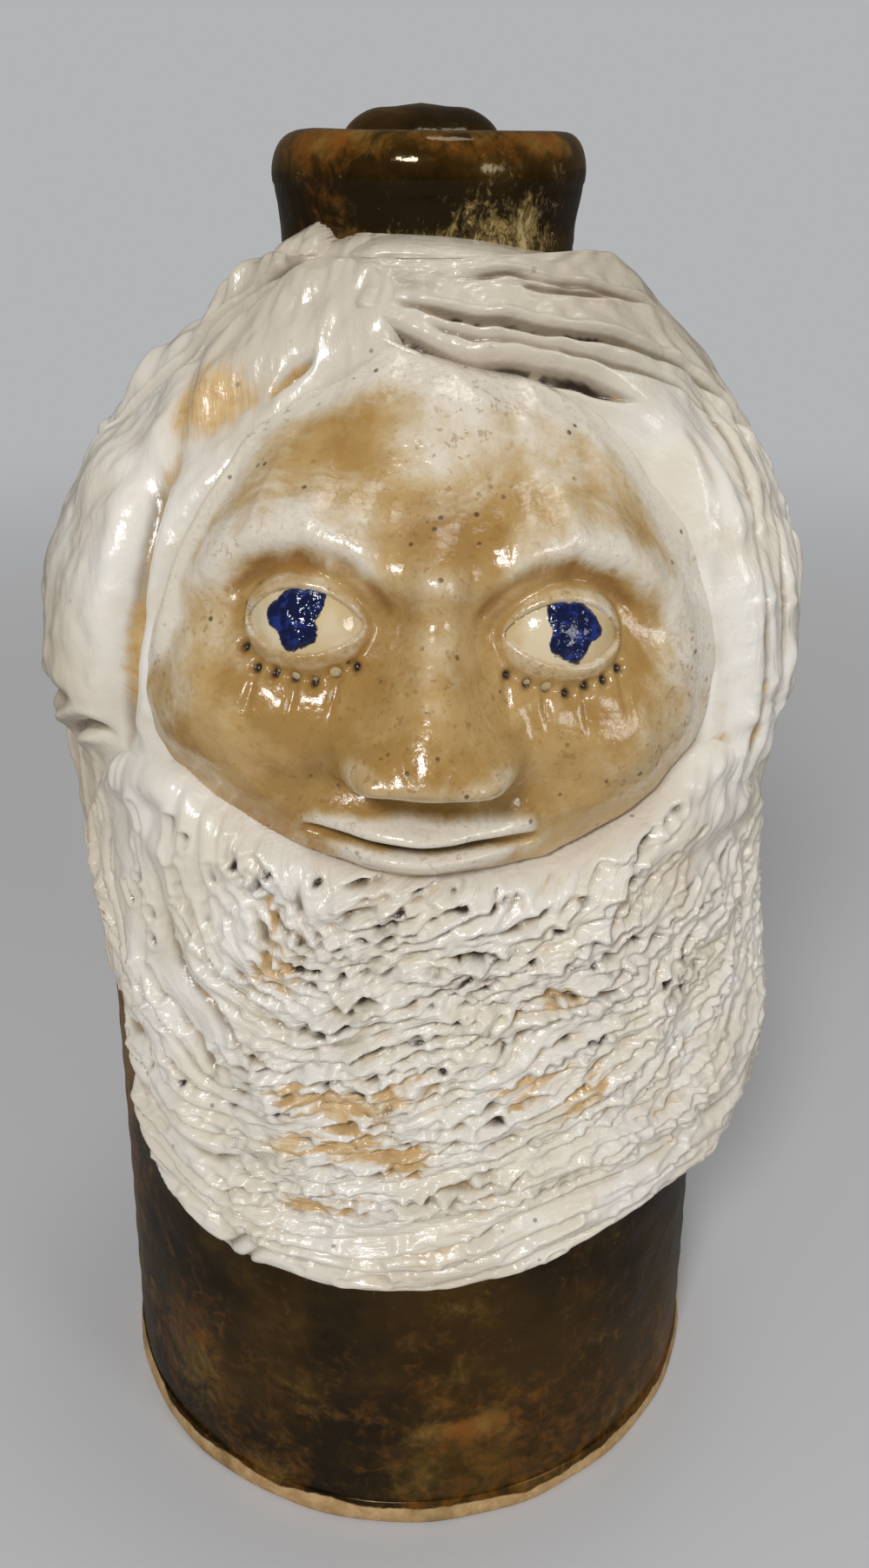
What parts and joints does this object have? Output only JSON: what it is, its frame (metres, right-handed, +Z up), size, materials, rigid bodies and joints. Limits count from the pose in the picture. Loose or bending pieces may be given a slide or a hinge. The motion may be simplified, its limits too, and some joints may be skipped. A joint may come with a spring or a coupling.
{
  "type": "face jug",
  "caption": "Hollow stoneware jug with a narrow rolled neck, a strap handle behind, and a bearded face laid on its wall.",
  "frame": {"origin": "under the middle of the foot slab, on the plane that the jug stands on", "axes": "+Z up through the neck; the face looks along -Y; +X is to the right of someone who looks at the face"},
  "size_m": [0.1085, 0.1373, 0.2035],
  "materials": {
    "brown_glaze": "thick glossy iron-brown glaze breaking amber",
    "bare_clay": "unglazed fired stoneware",
    "skin_glaze": "glossy honey glaze breaking white on the ridges",
    "white_glaze": "glossy white glaze breaking tan in the hollows",
    "eye_glaze": "glossy cream glaze with a dabbed cobalt iris"
  },
  "bodies": {
    "root": {"base_slab": "bare_clay", "body_wall": "brown_glaze", "neck_collar": "brown_glaze", "strap_handle": "brown_glaze", "eyeball_left": "eye_glaze", "eyeball_right": "eye_glaze", "face_slab": "skin_glaze", "nose": "skin_glaze", "nose_wing_left": "skin_glaze", "nose_wing_right": "skin_glaze", "upper_lid_left": "skin_glaze", "upper_lid_right": "skin_glaze", "lower_lid_left": "skin_glaze", "lower_lid_right": "skin_glaze", "brow_left": "skin_glaze", "brow_right": "skin_glaze", "cheek_left": "skin_glaze", "cheek_right": "skin_glaze", "upper_lip": "white_glaze", "lower_lip": "white_glaze", "hair_right_1": "white_glaze", "hair_right_2": "white_glaze", "hair_right_3": "white_glaze", "hair_right_4": "white_glaze", "hair_left_sheet": "white_glaze", "hair_left_lobe": "white_glaze", "hair_left_rope": "white_glaze", "hair_left_fold": "white_glaze", "hair_left_lock": "white_glaze", "beard": "white_glaze"}
  },
  "joints": []
}
